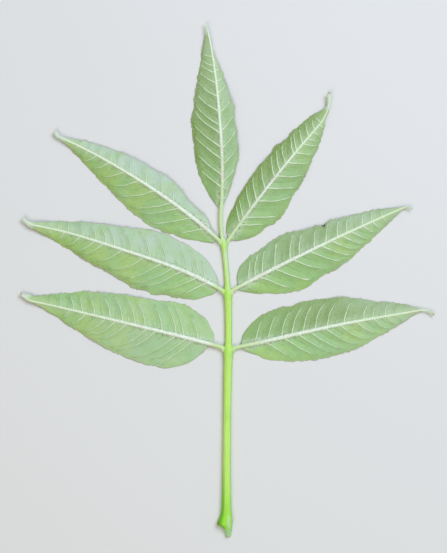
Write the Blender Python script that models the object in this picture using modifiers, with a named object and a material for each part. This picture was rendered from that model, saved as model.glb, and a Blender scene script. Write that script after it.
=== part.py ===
"""One compound ash leaf, picked with its whole stalk and lying with its pale underside up.

Blender 4.5, metres, +Z up. The leaf rests on the plane z = 0 with its foot towards -Y
and its end leaflet towards +Y. Sizes below are millimetres and degrees, as measured on
the real leaf, and turn into metres where the meshes are made.

Seven leaflets sit on one stalk: three pairs and one at the end. Each leaflet is a thin
blade, folded like a low tent along its midrib, and each hangs on a short stalklet.
"""

import math
from collections import namedtuple

import bmesh
import bpy
from mathutils import Vector

MM = 0.001
GAP = 0.3  # clear space between neighbouring solids

# The stalk: where it runs and how thick it is at a few places along its length.
# height_ratio is its height over its width there, so the foot is broad and flat.
Station = namedtuple("Station", "y centre_x half_width height_ratio")
CUT_Y = -110.3  # the torn end of the foot, closed by a flat face
STALK_STATIONS = (
    Station(CUT_Y, 0.44, 1.03, 0.90),
    Station(-108.0, 0.25, 1.50, 0.88),
    Station(-105.9, -0.30, 2.30, 0.82),
    Station(-104.7, -0.90, 3.02, 0.72),
    Station(-103.0, -0.80, 3.02, 0.72),
    Station(-100.6, -0.51, 2.40, 0.82),
    Station(-96.8, -0.41, 2.08, 0.90),
    Station(-80.0, -0.31, 1.80, 0.94),
    Station(-52.0, -0.08, 1.72, 0.94),
    Station(-36.0, 0.24, 1.82, 0.94),
    Station(-27.0, 0.41, 1.50, 0.94),
    Station(-17.0, 0.41, 1.45, 0.94),
    Station(-8.5, 0.25, 1.50, 0.94),
    Station(0.0, -0.18, 1.15, 0.94),
    Station(9.0, -0.92, 1.12, 0.94),
    Station(17.2, -1.80, 1.12, 0.94),
)
STALK_SIDES = 14
RING_SPACING = 4.0  # widest gap between the stalk's rings
STALK_UNDER = 0.8  # the side that lies on the ground is this much flatter

# The three joints of the stalk, where a pair of leaflets leaves it and it swells.
NODE_Y = (-30.9, -6.3, 14.9)
NODE_SWELL = (0.35, 0.32, 0.18)  # added to the half width at the joint
NODE_REACH = 2.6  # how far along the stalk a swelling fades away

# The stalklets.
STALKLET_RADIUS = 0.80
STALKLET_SIDES = 10
STALKLET_RINGS = 6
STALKLET_LEAN = 58.0  # angle between a stalklet's root and the square line off the stalk
STALKLET_REACH = 0.4  # how far its two end directions carry, as a share of its length
ROOT_SHARE = 0.45  # where it starts inside the stalk, as a share of the half width
ROOT_LIFT = 0.2  # how much higher than the stalk's middle it starts
END_ROOT_DEPTH = 1.0  # how deep in the stalk's top the end stalklet starts
END_ROOT_HEIGHT = 1.1
END_ROOT_TURN = 14.0  # how far its root leans from the end leaflet's direction

# The leaflets. A side's half width grows from the leaflet's base as a power of the
# distance, peaks, and falls to the tip as another power of the distance left.
Side = namedtuple("Side", "half_width base_power tip_power begins ends")
# heading is the midrib's direction at its base, turn and sway bend it along the way,
# and hook bends its last hook_share. fold is the slope of each half, crown the height
# of the midrib over the ground and tip_lift how far the tip curls up.
Leaflet = namedtuple(
    "Leaflet",
    "name node start heading turn sway hook hook_share length left right "
    "fold crown tip_lift",
)
LEAFLETS = (
    Leaflet("leaflet_left_1", 0, (-5.6, -27.8), 164.7, 3.8, 0.8, -45.0, 0.08, 87.0,
            Side(15.4, 0.60, 1.53, 0.029, 1.0), Side(13.0, 0.38, 0.92, 0.015, 1.0),
            9.0, 2.4, 2.0),
    Leaflet("leaflet_right_1", 0, (6.0, -28.3), 11.7, -0.8, 3.3, -60.0, 0.08, 85.2,
            Side(13.0, 0.58, 1.23, 0.0, 1.0), Side(13.2, 1.10, 1.56, -0.015, 1.0),
            10.0, 2.4, 1.6),
    Leaflet("leaflet_left_2", 1, (-4.2, -3.1), 149.8, 24.6, 7.1, -60.0, 0.07, 90.1,
            Side(13.6, 0.60, 1.22, -0.01, 1.0), Side(11.5, 0.54, 1.23, 0.011, 1.0),
            11.0, 2.7, 2.4),
    Leaflet("leaflet_right_2", 1, (3.8, -3.3), 27.9, -4.7, 0.3, -65.0, 0.05, 83.9,
            Side(10.6, 0.37, 1.04, 0.018, 1.0), Side(13.1, 0.82, 1.40, 0.0, 1.0),
            11.0, 2.6, 1.8),
    Leaflet("leaflet_left_3", 2, (-4.5, 18.1), 137.3, 20.9, 2.3, -60.0, 0.05, 84.5,
            Side(13.6, 0.83, 1.36, -0.018, 1.0), Side(7.4, 1.10, 1.30, 0.0, 1.0),
            12.0, 2.6, 2.2),
    Leaflet("leaflet_right_3", 2, (0.5, 17.6), 54.9, -7.9, -0.1, 50.0, 0.20, 78.0,
            Side(8.4, 0.42, 0.54, 0.0, 0.92), Side(11.8, 0.62, 0.95, 0.0, 0.88),
            12.0, 2.6, 3.0),
    Leaflet("leaflet_end", 2, (-2.7, 31.5), 85.9, 17.7, 2.7, -15.0, 0.05, 79.9,
            Side(12.3, 0.77, 1.25, -0.008, 1.0), Side(7.3, 1.50, 2.50, -0.05, 1.0),
            12.0, 2.7, 2.6),
)
BLADE_THICKNESS = 0.92  # a hundredth of the longest leaflet and a little more
RIB_THICKNESS = 1.75  # blade and midrib together at the leaflet's base
RIB_HALF_WIDTH = 0.62
RIB_NARROWS = 0.5  # share of its width that the midrib loses by the tip
RIB_SINKS = 0.85  # share of its height that it loses by the tip
RIB_ROUND = (1.0, 0.75)  # its height at its middle and at its edge
RIB_LARGEST_SHARE = 0.55  # of the blade's own half width, where that is narrow
TAIL_HALF_WIDTH = 0.50  # the narrowest the blade gets before its very tip
TIP_HALF_WIDTH = 0.30
TIP_BEGINS = 0.875  # share of the length
SEAT_HALF_WIDTH = 0.80  # of the blade's base, as wide as the stalklet that carries it
SEAT_FADES = 0.17  # share of the length
BASE_HEIGHT = 0.95  # the blade's lower face over the ground at its base
BASE_FADES = 0.3  # shares of the length: where the base's height has faded away,
ARCH_RISES = 0.35  # where the arch is fully up,
ARCH_FALLS = 0.5  # how long before the tip it starts to fall,
CURL_BEGINS = 0.75  # where the tip starts to curl up
CURL_REACH = 0.3  # and how long that takes, a little past the tip
BLADE_ROWS = 30
BLADE_COLUMNS = 8  # four on each side: the midrib's slope and three of blade
PATH_STEPS = 240  # small steps that add up to a midrib's bent path

STALK_COLOUR = (0.48, 0.79, 0.20)
STALKLET_COLOUR = (0.56, 0.78, 0.32)
BLADE_COLOUR = (0.36, 0.54, 0.26)


def clear_scene():
    for thing in list(bpy.data.objects):
        bpy.data.objects.remove(thing, do_unlink=True)


def new_collection(name):
    collection = bpy.data.collections.new(name)
    bpy.context.scene.collection.children.link(collection)
    return collection


def new_material(name, colour, roughness):
    material = bpy.data.materials.new(name)
    material.use_nodes = True
    shader = material.node_tree.nodes["Principled BSDF"]
    shader.inputs["Base Color"].default_value = (*colour, 1.0)
    shader.inputs["Roughness"].default_value = roughness
    shader.inputs["Metallic"].default_value = 0.0
    return material


def new_object(name, mesh, collection, parent):
    thing = bpy.data.objects.new(name, mesh)
    collection.objects.link(thing)
    thing.parent = parent
    return thing


def smooth(x):
    x = min(max(x, 0.0), 1.0)
    return x * x * (3.0 - 2.0 * x)


def stalk_section(y):
    """Centre, half width and height ratio of the stalk at y, on a smooth curve."""
    stations = STALK_STATIONS
    i = max(k for k in range(len(stations) - 1) if stations[k].y <= y)
    before, after = stations[max(i - 1, 0)], stations[min(i + 2, len(stations) - 1)]
    a, b = stations[i], stations[i + 1]
    t = (y - a.y) / (b.y - a.y)
    values = []
    for k in range(1, 4):
        slope_a = (b[k] - before[k]) / (b.y - before.y) * (b.y - a.y)
        slope_b = (after[k] - a[k]) / (after.y - a.y) * (b.y - a.y)
        values.append(
            a[k] * (1 - smooth(t)) + b[k] * smooth(t)
            + slope_a * t * (1 - t) ** 2 - slope_b * t * t * (1 - t)
        )
    centre, half, ratio = values
    for node_y, swell in zip(NODE_Y, NODE_SWELL):
        half += swell * math.exp(-(((y - node_y) / NODE_REACH) ** 2))
    return centre, half, ratio


def ring_places():
    """The stalk's rings: every station, and even steps between those far apart."""
    places = [STALK_STATIONS[0].y]
    for a, b in zip(STALK_STATIONS, STALK_STATIONS[1:]):
        parts = math.ceil((b.y - a.y) / RING_SPACING)
        places += [a.y + (b.y - a.y) * k / parts for k in range(1, parts + 1)]
    return places


def loft(name, rings, sides):
    """A closed tube through rings (centre, heading, half width, half height, under)."""
    bm = bmesh.new()
    loops = []
    for centre, heading, half_width, half_height, under in rings:
        across = Vector((math.sin(heading), -math.cos(heading), 0.0))
        loop = []
        for k in range(sides):
            angle = 2 * math.pi * k / sides
            rise = math.sin(angle) * half_height * (under if math.sin(angle) < 0 else 1.0)
            point = centre + across * math.cos(angle) * half_width + Vector((0, 0, rise))
            loop.append(bm.verts.new(point * MM))
        loops.append(loop)
    for a, b in zip(loops, loops[1:]):
        for k in range(sides):
            n = (k + 1) % sides
            bm.faces.new((a[k], a[n], b[n], b[k]))
    bm.faces.new(loops[0])
    bm.faces.new(loops[-1])
    bmesh.ops.recalc_face_normals(bm, faces=bm.faces)
    mesh = bpy.data.meshes.new(name)
    bm.to_mesh(mesh)
    bm.free()
    return mesh


def stalk_mesh(name, grow=0.0):
    """The stalk from its torn foot to the upper joint, grown all over by grow."""
    rings = []
    places = ring_places()
    places[0] -= grow
    places[-1] += grow
    for y in places:
        inner_y = min(max(y, STALK_STATIONS[0].y), STALK_STATIONS[-1].y)
        centre_x, half, ratio = stalk_section(inner_y)
        half_height = half * ratio
        centre = Vector((centre_x, y, half_height * STALK_UNDER))
        rings.append((centre, math.pi / 2, half + grow, half_height + grow, STALK_UNDER))
    return loft(name, rings, STALK_SIDES)


def stalklet_mesh(name, start, start_heading, end, end_heading):
    """A round tube on a curve that leaves start and reaches end along the headings."""
    reach = (end - start).length * STALKLET_REACH
    out = Vector((math.cos(start_heading), math.sin(start_heading), 0.0)) * reach
    back = Vector((math.cos(end_heading), math.sin(end_heading), 0.0)) * reach
    controls = (start, start + out, end - back, end)
    rings = []
    for k in range(STALKLET_RINGS):
        t = k / (STALKLET_RINGS - 1)
        s = 1.0 - t
        shares = (s * s * s, 3 * s * s * t, 3 * s * t * t, t * t * t)
        centre = sum((p * w for p, w in zip(controls, shares)), Vector())
        slopes = (-s * s, s * s - 2 * s * t, 2 * s * t - t * t, t * t)
        travel = sum((p * w for p, w in zip(controls, slopes)), Vector())
        heading = math.atan2(travel.y, travel.x)
        rings.append((centre, heading, STALKLET_RADIUS, STALKLET_RADIUS, 1.0))
    return loft(name, rings, STALKLET_SIDES)


def half_width(side, t):
    """Width from the midrib to the margin at the share t of the leaflet's length."""
    thinned = smooth((t - TIP_BEGINS) / (1.0 - TIP_BEGINS))
    tail = TAIL_HALF_WIDTH + (TIP_HALF_WIDTH - TAIL_HALF_WIDTH) * thinned
    least = max(tail, SEAT_HALF_WIDTH * (1.0 - smooth(t / SEAT_FADES)))
    s = (t - side.begins) / (side.ends - side.begins)
    if not 0.0 < s < 1.0:
        return least
    peak = side.base_power / (side.base_power + side.tip_power)
    grow = (s / peak) ** side.base_power
    fall = ((1.0 - s) / (1.0 - peak)) ** side.tip_power
    return max(least, side.half_width * grow * fall)


def midrib_path(leaflet):
    """Places and headings along the midrib, from the leaflet's base along +X."""
    step = leaflet.length / PATH_STEPS
    place = Vector((0.0, 0.0, 0.0))
    path = []
    for k in range(PATH_STEPS + 1):
        t = k / PATH_STEPS
        hooked = min(max((t - 1.0) / leaflet.hook_share + 1.0, 0.0), 1.0)
        sway = leaflet.sway * math.sin(2 * math.pi * t) / 2
        heading = math.radians(leaflet.turn * t + sway + leaflet.hook * hooked)
        path.append((place.copy(), heading))
        place += Vector((math.cos(heading), math.sin(heading), 0.0)) * step
    return path


def rib_height(leaflet, t):
    """Height of the blade's lower face under the midrib."""
    base = BASE_HEIGHT * (1.0 - smooth(t / BASE_FADES))
    arch = leaflet.crown * smooth(t / ARCH_RISES) * smooth((1.0 - t) / ARCH_FALLS)
    curl = leaflet.tip_lift * smooth((t - CURL_BEGINS) / CURL_REACH)
    return base + arch + curl


def blade_point(leaflet, path, row, column):
    """The lower face's point at a row along the midrib and a column across it."""
    s = row / BLADE_ROWS
    t = 0.5 * s + 0.5 * smooth(s)
    place, heading = path[round(t * PATH_STEPS)]
    side = leaflet.left if column > 0 else leaflet.right
    margin = half_width(side, t)
    rib = min(RIB_HALF_WIDTH * (1.0 - RIB_NARROWS * t), margin * RIB_LARGEST_SHARE)
    steps = abs(column)
    last = BLADE_COLUMNS // 2
    offset = 0.0 if steps == 0 else rib + (margin - rib) * (steps - 1) / (last - 1)
    across = Vector((-math.sin(heading), math.cos(heading), 0.0))
    point = place + across * math.copysign(offset, column)
    drop = math.tan(math.radians(leaflet.fold)) * offset
    point.z = max(0.0, rib_height(leaflet, t) - drop)
    ridge = RIB_ROUND[steps] * (1.0 - RIB_SINKS * t) if steps < 2 else 0.0
    return point, ridge


def build_leaflet(leaflet, collection, parent, material):
    """A grid laid along the bent midrib, thickened upwards and most at the midrib."""
    path = midrib_path(leaflet)
    bm = bmesh.new()
    bmesh.ops.create_grid(bm, x_segments=BLADE_ROWS, y_segments=BLADE_COLUMNS, size=0.5)
    ridges = []
    for vertex in bm.verts:
        row = round((vertex.co.x + 0.5) * BLADE_ROWS)
        column = round(vertex.co.y * BLADE_COLUMNS)
        point, ridge = blade_point(leaflet, path, row, column)
        vertex.co = point * MM
        ridges.append(ridge)
    mesh = bpy.data.meshes.new(leaflet.name)
    bm.to_mesh(mesh)
    bm.free()
    mesh.materials.append(material)
    thing = new_object(leaflet.name, mesh, collection, parent)
    thing.location = Vector((*leaflet.start, 0.0)) * MM
    thing.rotation_euler.z = math.radians(leaflet.heading)
    group = thing.vertex_groups.new(name="midrib")
    for index, ridge in enumerate(ridges):
        group.add([index], ridge, "REPLACE")
    shell = thing.modifiers.new("blade", "SOLIDIFY")
    shell.thickness = RIB_THICKNESS * MM
    shell.offset = 1.0
    shell.vertex_group = group.name
    shell.thickness_vertex_group = BLADE_THICKNESS / RIB_THICKNESS


def build_stalklet(leaflet, collection, parent, material, cutter):
    """The stalklet from inside the stalk to the leaflet, cut back clear of the stalk."""
    heading = math.radians(leaflet.heading)
    along = Vector((math.cos(heading), math.sin(heading), 0.0))
    blade_middle = BASE_HEIGHT + RIB_THICKNESS / 2
    end = Vector((*leaflet.start, blade_middle)) - along * GAP
    if leaflet.name == "leaflet_end":
        top = STALK_STATIONS[-1]
        start = Vector((top.centre_x, top.y - END_ROOT_DEPTH, END_ROOT_HEIGHT))
        start_heading = heading + math.radians(END_ROOT_TURN)
    else:
        node_y = NODE_Y[leaflet.node]
        centre_x, half, ratio = stalk_section(node_y)
        outward = math.copysign(1.0, leaflet.start[0] - centre_x)
        height = half * ratio * STALK_UNDER + ROOT_LIFT
        start = Vector((centre_x + outward * half * ROOT_SHARE, node_y, height))
        lean = math.radians(STALKLET_LEAN)
        start_heading = lean if outward > 0 else math.pi - lean
    name = leaflet.name.replace("leaflet", "stalklet")
    mesh = stalklet_mesh(name, start, start_heading, end, heading)
    mesh.materials.append(material)
    thing = new_object(name, mesh, collection, parent)
    cut = thing.modifiers.new("clear_of_stalk", "BOOLEAN")
    cut.operation = "DIFFERENCE"
    cut.solver = "EXACT"
    cut.object = cutter


def main():
    clear_scene()
    parts = new_collection("compound_leaf")
    cutters = new_collection("cutters")
    frame = new_object("leaf_frame", None, parts, None)

    stalk_material = new_material("stalk_green", STALK_COLOUR, 0.45)
    stalklet_material = new_material("stalklet_green", STALKLET_COLOUR, 0.5)
    blade_material = new_material("blade_underside", BLADE_COLOUR, 0.6)

    stalk = new_object("stalk", stalk_mesh("stalk"), parts, frame)
    stalk.data.materials.append(stalk_material)
    cutter = new_object("stalk_cutter", stalk_mesh("stalk_cutter", GAP), cutters, None)
    cutter.hide_render = True
    cutter.display_type = "WIRE"

    for leaflet in LEAFLETS:
        build_leaflet(leaflet, parts, frame, blade_material)
        build_stalklet(leaflet, parts, frame, stalklet_material, cutter)


main()
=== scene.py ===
import math

import bpy
import numpy as np
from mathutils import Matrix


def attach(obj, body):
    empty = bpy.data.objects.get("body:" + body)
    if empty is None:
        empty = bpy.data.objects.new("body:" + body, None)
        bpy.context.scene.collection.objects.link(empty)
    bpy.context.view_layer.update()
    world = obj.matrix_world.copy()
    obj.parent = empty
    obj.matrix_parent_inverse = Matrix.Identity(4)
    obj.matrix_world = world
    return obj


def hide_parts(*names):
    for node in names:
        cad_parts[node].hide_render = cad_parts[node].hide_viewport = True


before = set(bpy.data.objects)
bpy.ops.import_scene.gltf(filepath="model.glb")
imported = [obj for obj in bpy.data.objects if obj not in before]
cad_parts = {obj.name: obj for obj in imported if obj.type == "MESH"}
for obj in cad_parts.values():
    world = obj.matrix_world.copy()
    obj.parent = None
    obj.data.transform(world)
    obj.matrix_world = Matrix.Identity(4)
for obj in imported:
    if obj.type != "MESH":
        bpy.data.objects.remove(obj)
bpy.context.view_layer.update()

# %% [markdown]
# # A compound ash leaf, lying with its underside up
#
# One ash leaf is not one blade but seven leaflets on a shared stalk. Seen from below each leaflet is pale
# and matt, with a thick whitish midrib and a dozen thin side veins that stand out of the blade in relief.
# The whole leaf lies on a pale floor, and the camera looks straight down on it.
#
# Every length of the leaf is in millimetres until a mesh is made, because a leaf is read in millimetres: a
# side vein is 0.4 mm wide, a blade 0.4 mm thick. The function `new_mesh` turns them into Blender's metres.
# Only the lights and the floor are given in metres.

# %% Units and small curves
MM = 0.001  # one millimetre in Blender's metres


def smooth(x):
    """Rises from 0 to 1 with level ends, for numbers and arrays."""
    x = np.clip(x, 0.0, 1.0)
    return x * x * (3.0 - 2.0 * x)


def bell(distance, reach):
    """1 at no distance, about a third at reach, then quickly 0."""
    return np.exp(-((distance / reach) ** 2))


def wander(x, seed, wave):
    """A smooth wavering line between -1 and 1 with humps about one wave apart."""
    phases = np.random.default_rng(seed).uniform(0.0, 2 * math.pi, 3)
    waves = zip((1.0, 1.7, 2.9), (0.5, 0.3, 0.2), phases)
    return sum(share * np.sin(2 * math.pi * x * pace / wave + phase) for pace, share, phase in waves)


# %% [markdown]
# ## The camera
#
# A leaf that lies flat is photographed from straight above. A long lens keeps the outline true out to the
# tips: with 85 mm on a 36 mm sensor the frame's height is 36 / 85 of the distance. One picture pixel is
# 0.43 mm of leaf, which gives that distance. The leaf sits a little right of and below the picture's
# middle.

# %% The camera straight above the leaf
PIXEL = 0.43
FRAME_PIXELS = (447, 553)
ORIGIN_PIXEL = (227.5, 280.5)  # where the middle of the leaf's outline lies in the picture
LENS = 85.0
SENSOR = 36.0
LEAF_LEVEL = 2.0  # height at which the scale holds

camera_data = bpy.data.cameras.new("camera")
camera_data.lens = LENS
camera_data.sensor_width = SENSOR
camera_data.clip_start = 0.01  # metres, so that close views of the leaf aren't cut
camera = bpy.data.objects.new("camera", camera_data)
bpy.context.scene.collection.objects.link(camera)
camera_height = FRAME_PIXELS[1] * PIXEL * LENS / SENSOR + LEAF_LEVEL
camera.location = (
    (FRAME_PIXELS[0] / 2 - ORIGIN_PIXEL[0]) * PIXEL * MM,
    (ORIGIN_PIXEL[1] - FRAME_PIXELS[1] / 2) * PIXEL * MM,
    camera_height * MM,
)
bpy.context.scene.camera = camera
print("camera", round(camera_height), "mm above the floor")

# %% [markdown]
# ## Colours and nodes
#
# Colours are written as sRGB hex values, as a paint program shows them, and turned into the linear values
# that Blender's shaders work with. Every material is a small node tree, and one function adds each node
# with its settings and links, so that a material reads as a list of steps.

# %% One function for colours, one for nodes


def linear(hex_colour):
    """An sRGB hex colour as linear red, green, blue and alpha."""
    channels = [int(hex_colour[k:k + 2], 16) / 255 for k in (1, 3, 5)]
    return (*[c / 12.92 if c <= 0.04045 else ((c + 0.055) / 1.055) ** 2.4 for c in channels], 1.0)


def add(tree, kind, inputs=None, output=0, **settings):
    """Adds a node with its settings, its input values and its links, and gives back one output."""
    node = tree.nodes.new(kind)
    for name, value in settings.items():
        setattr(node, name, value)
    for socket, value in (inputs or {}).items():
        if isinstance(value, bpy.types.NodeSocket):
            tree.links.new(value, node.inputs[socket])
        else:
            node.inputs[socket].default_value = value
    return node.outputs[output]


def new_material(name, **values):
    """A material and its Principled shader, with constants set on the shader itself."""
    material = bpy.data.materials.new(name)
    material.use_nodes = True
    shader = material.node_tree.nodes["Principled BSDF"]
    for socket, value in values.items():
        shader.inputs[socket.replace("_", " ")].default_value = value
    return material, material.node_tree, shader


# %% [markdown]
# ## Floor and light
#
# The floor is a plain pale sheet. The light is soft and comes from two sides. A large cool light stands
# at the upper right: it rakes over the low tent of each leaflet, so that the half which faces it turns
# pale and bluish. A warmer one from the lower left keeps the other half a yellower green. A dim pale sky
# fills the rest.

# %% The floor
FLOOR_SIZE = 8.0  # metres, so that no view sees its edge near the leaf
FLOOR_DROP = 0.02 * MM  # just below the leaf, so that no face of the leaf lies in it

floor_material, tree, shader = new_material("matt_paper", Roughness=0.9)
shader.inputs["Base Color"].default_value = linear("#E4E4DF")
bpy.ops.mesh.primitive_plane_add(size=FLOOR_SIZE, location=(0, 0, -FLOOR_DROP))
floor = bpy.context.object
floor.name = "floor"
floor.data.materials.append(floor_material)
print(floor.name, "of", floor_material.name)


# %% The lights
SKY_STRENGTH = 0.34


def area_light(name, azimuth, tilt, distance, size, power, colour):
    """A square light that looks at the leaf, tilt degrees off the vertical towards azimuth."""
    data = bpy.data.lights.new(name, "AREA")
    data.size = size
    data.energy = power
    data.color = linear(colour)[:3]
    light = bpy.data.objects.new(name, data)
    bpy.context.scene.collection.objects.link(light)
    around, off = math.radians(azimuth), math.radians(tilt)
    light.location = (
        distance * math.sin(off) * math.cos(around),
        distance * math.sin(off) * math.sin(around),
        distance * math.cos(off),
    )
    light.rotation_euler = (0.0, off, around)
    print(name, "of", power, "W", distance, "m away")


area_light("window_light", azimuth=50, tilt=36, distance=1.1, size=0.6, power=9.0, colour="#E0E9FF")
area_light("warm_fill", azimuth=245, tilt=30, distance=1.2, size=0.8, power=4.4, colour="#FFF5E0")
world = bpy.data.worlds.new("pale_room")
world.use_nodes = True
world.node_tree.nodes["Background"].inputs["Color"].default_value = linear("#EEF1F4")
world.node_tree.nodes["Background"].inputs["Strength"].default_value = SKY_STRENGTH
bpy.context.scene.world = world
bpy.context.scene.view_settings.view_transform = "Standard"

# %% [markdown]
# ## Meshes from grids
#
# A leaf is a sheet and a stalk is a tube, and both are grids of points: rows along, columns across.
# `sheet_mesh` closes two grids, an upper and a lower one, into one thin solid. `tube_mesh` closes a grid
# whose columns run round. Both carry named values for each point, such as how strongly a vein shows
# there, which the materials read.

# %% Two ways to turn grids of points into closed meshes


def new_mesh(name, points, quads, values, materials, slots=None):
    """A smooth mesh object from points in millimetres, quads and named values per point."""
    mesh = bpy.data.meshes.new(name)
    mesh.vertices.add(len(points))
    mesh.vertices.foreach_set("co", (points * MM).astype(np.float32).ravel())
    mesh.loops.add(quads.size)
    mesh.loops.foreach_set("vertex_index", quads.astype(np.int32).ravel())
    mesh.polygons.add(len(quads))
    mesh.polygons.foreach_set("loop_start", np.arange(0, quads.size, 4, dtype=np.int32))
    for material in materials:
        mesh.materials.append(material)
    if slots is not None:
        mesh.polygons.foreach_set("material_index", slots.astype(np.int32))
    for key, value in values.items():
        kind, field = ("FLOAT_VECTOR", "vector") if value.ndim == 2 else ("FLOAT", "value")
        mesh.attributes.new(key, kind, "POINT").data.foreach_set(field, value.astype(np.float32).ravel())
    mesh.update(calc_edges=True)
    mesh.validate()
    mesh.polygons.foreach_set("use_smooth", np.ones(len(mesh.polygons), dtype=bool))
    thing = bpy.data.objects.new(name, mesh)
    bpy.context.scene.collection.objects.link(thing)
    return thing


def strip(a, b):
    """Quads between two lines of point numbers."""
    return np.stack([a[:-1], a[1:], b[1:], b[:-1]], axis=-1).reshape(-1, 4)


def sheet_mesh(name, upper, lower, values, materials):
    """A thin closed solid: an upper and a lower grid of points, and a rim that joins them."""
    rows, columns = upper.shape[:2]
    top = np.arange(rows * columns).reshape(rows, columns)
    under = top + rows * columns
    faces_up = np.concatenate([strip(top[k], top[k + 1]) for k in range(rows - 1)])
    faces_down = np.concatenate([strip(under[k + 1], under[k]) for k in range(rows - 1)])
    rims = [strip(under[:, -1], top[:, -1]), strip(top[:, 0], under[:, 0])]
    rims += [strip(under[0], top[0]), strip(top[-1], under[-1])]
    rim = np.concatenate(rims)
    quads = np.concatenate([faces_up, faces_down, rim])[:, ::-1]
    slots = np.r_[np.zeros(len(faces_up)), np.ones(len(faces_down)), np.zeros(len(rim))]
    points = np.concatenate([upper.reshape(-1, 3), lower.reshape(-1, 3)])
    both = {key: np.concatenate([value.reshape(rows * columns, *value.shape[2:])] * 2)
            for key, value in values.items()}
    return new_mesh(name, points, quads, both, materials, slots)


def tube_mesh(name, rings, values, materials):
    """A closed tube: rows of points that run round it, with a middle point in each end."""
    rows, sides = rings.shape[:2]
    number = np.arange(rows * sides).reshape(rows, sides)
    number = np.concatenate([number, number[:, :1]], axis=1)
    quads = [strip(number[k], number[k + 1]) for k in range(rows - 1)]
    ends = np.array([rings[0].mean(axis=0), rings[-1].mean(axis=0)])
    first, last = rows * sides, rows * sides + 1
    pairs = np.arange(0, sides, 2)
    wheel = np.stack([pairs, (pairs + 1) % sides, (pairs + 2) % sides], axis=-1)
    front = np.concatenate([np.full((len(pairs), 1), first), number[0][wheel][:, ::-1]], axis=1)
    back = np.concatenate([np.full((len(pairs), 1), last), number[-1][wheel]], axis=1)
    points = np.concatenate([rings.reshape(-1, 3), ends])
    full = {key: np.concatenate([value.ravel(), [value[0].mean(), value[-1].mean()]])
            for key, value in values.items()}
    return new_mesh(name, points, np.concatenate([*quads, front, back])[:, ::-1], full, materials)


# %% [markdown]
# ## The plan of the leaf
#
# The numbers below are the leaf's own sizes, and nearly the same ones that its solids were built from.
# The stalk is given by a few stations. Each leaflet is given by its midrib, a line that starts at a point
# with a heading and bends on its way, and by its two halves. A half grows from the base as one power of
# the distance, peaks, and falls towards the tip as another: two powers are enough for every leaflet shape
# from a willow's to a beech's. No real margin is that even, so each half also lists its bulges and nicks,
# and where its side veins start.

# %% The stalk's stations: y, centre x, half width, height over width
CUT_Y = -110.3
STALK_STATIONS = np.array([
    (CUT_Y, 0.44, 1.03, 0.90),
    (-108.0, 0.25, 1.50, 0.88),
    (-105.9, -0.30, 2.30, 0.82),
    (-104.7, -0.90, 3.02, 0.72),
    (-103.0, -0.80, 3.02, 0.72),
    (-100.6, -0.51, 2.40, 0.82),
    (-96.8, -0.41, 2.08, 0.90),
    (-80.0, -0.31, 1.80, 0.94),
    (-52.0, -0.08, 1.72, 0.94),
    (-36.0, 0.24, 1.82, 0.94),
    (-27.0, 0.41, 1.50, 0.94),
    (-17.0, 0.41, 1.45, 0.94),
    (-8.5, 0.25, 1.50, 0.94),
    (0.0, -0.18, 1.15, 0.94),
    (9.0, -0.92, 1.12, 0.94),
    (17.0, -1.78, 1.10, 0.94),
    (18.4, -1.92, 0.70, 0.94),
])
STALK_UNDER = 0.8  # the side on the floor is this much flatter
NODE_Y = (-30.9, -6.3, 14.9)  # the three joints that carry leaflets, from below
NODE_SWELL = (0.35, 0.32, 0.18)  # added to the half width at each
NODE_REACH = 2.6
print("stalk", round(STALK_STATIONS[-1, 0] - CUT_Y), "mm long,", 2 * STALK_STATIONS[:, 2].max(), "mm wide")


def stalk_section(y):
    """Centre, half width and height ratio of the stalk at each y."""
    places = STALK_STATIONS[:, 0]
    i = np.clip(np.searchsorted(places, y, side="right") - 1, 0, len(places) - 2)
    before, after = np.maximum(i - 1, 0), np.minimum(i + 2, len(places) - 1)
    a, b = STALK_STATIONS[i], STALK_STATIONS[i + 1]
    span = (b[:, 0] - a[:, 0])[:, None]
    t = (y[:, None] - a[:, :1]) / span
    slope_a = (b - STALK_STATIONS[before]) / (b[:, 0] - places[before])[:, None] * span
    slope_b = (STALK_STATIONS[after] - a) / (places[after] - a[:, 0])[:, None] * span
    values = a * (1 - smooth(t)) + b * smooth(t) + slope_a * t * (1 - t) ** 2 - slope_b * t * t * (1 - t)
    swelling = sum(s * bell(y - n, NODE_REACH) for n, s in zip(NODE_Y, NODE_SWELL))
    return values[:, 1], values[:, 2] + swelling, values[:, 3]


# %% What describes a leaflet
MINOR_VEIN_GAP = 5.2  # mm; between two side veins that are further apart runs a short faint one


class Half:
    """One side of a leaflet: its outline, its side veins, its wax with a painted reflection, its green with
    painted shade and its margin's painted shade.
    """

    def __init__(self, outline, bulges, angle, bend, veins, wax_and_reflection, depth, margin_shade):
        # its width in mm, the two powers, and the shares of the length at which it begins and ends
        self.widest, self.base_power, self.tip_power, self.begins, self.ends = outline
        self.bulges = bulges  # each is mm along the midrib, height, reach; a nick has a negative height
        self.angle = angle  # degrees between the midrib and a side vein where it starts
        self.bend = bend  # how much a side vein turns towards the tip on its way out
        self.veins = veins  # mm along the midrib at which the side veins start
        gaps = [(a, b) for a, b in zip(veins[:-1], veins[1:]) if b - a > MINOR_VEIN_GAP]
        self.minor_veins = [a + 0.52 * (b - a) for a, b in gaps]
        self.wax_and_reflection = wax_and_reflection  # share of the bluish wax that it has kept near the base and near the tip, with a painted reflection of the cool light on halves that face it
        self.depth = depth  # 0 is a light yellowish green, 1 a deep one; the deeper green is partly painted shade on halves that face away from the cool light
        self.margin_shade = margin_shade  # how much painted shade turns the zone along the margin olive, where it curls away from the light


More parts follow.
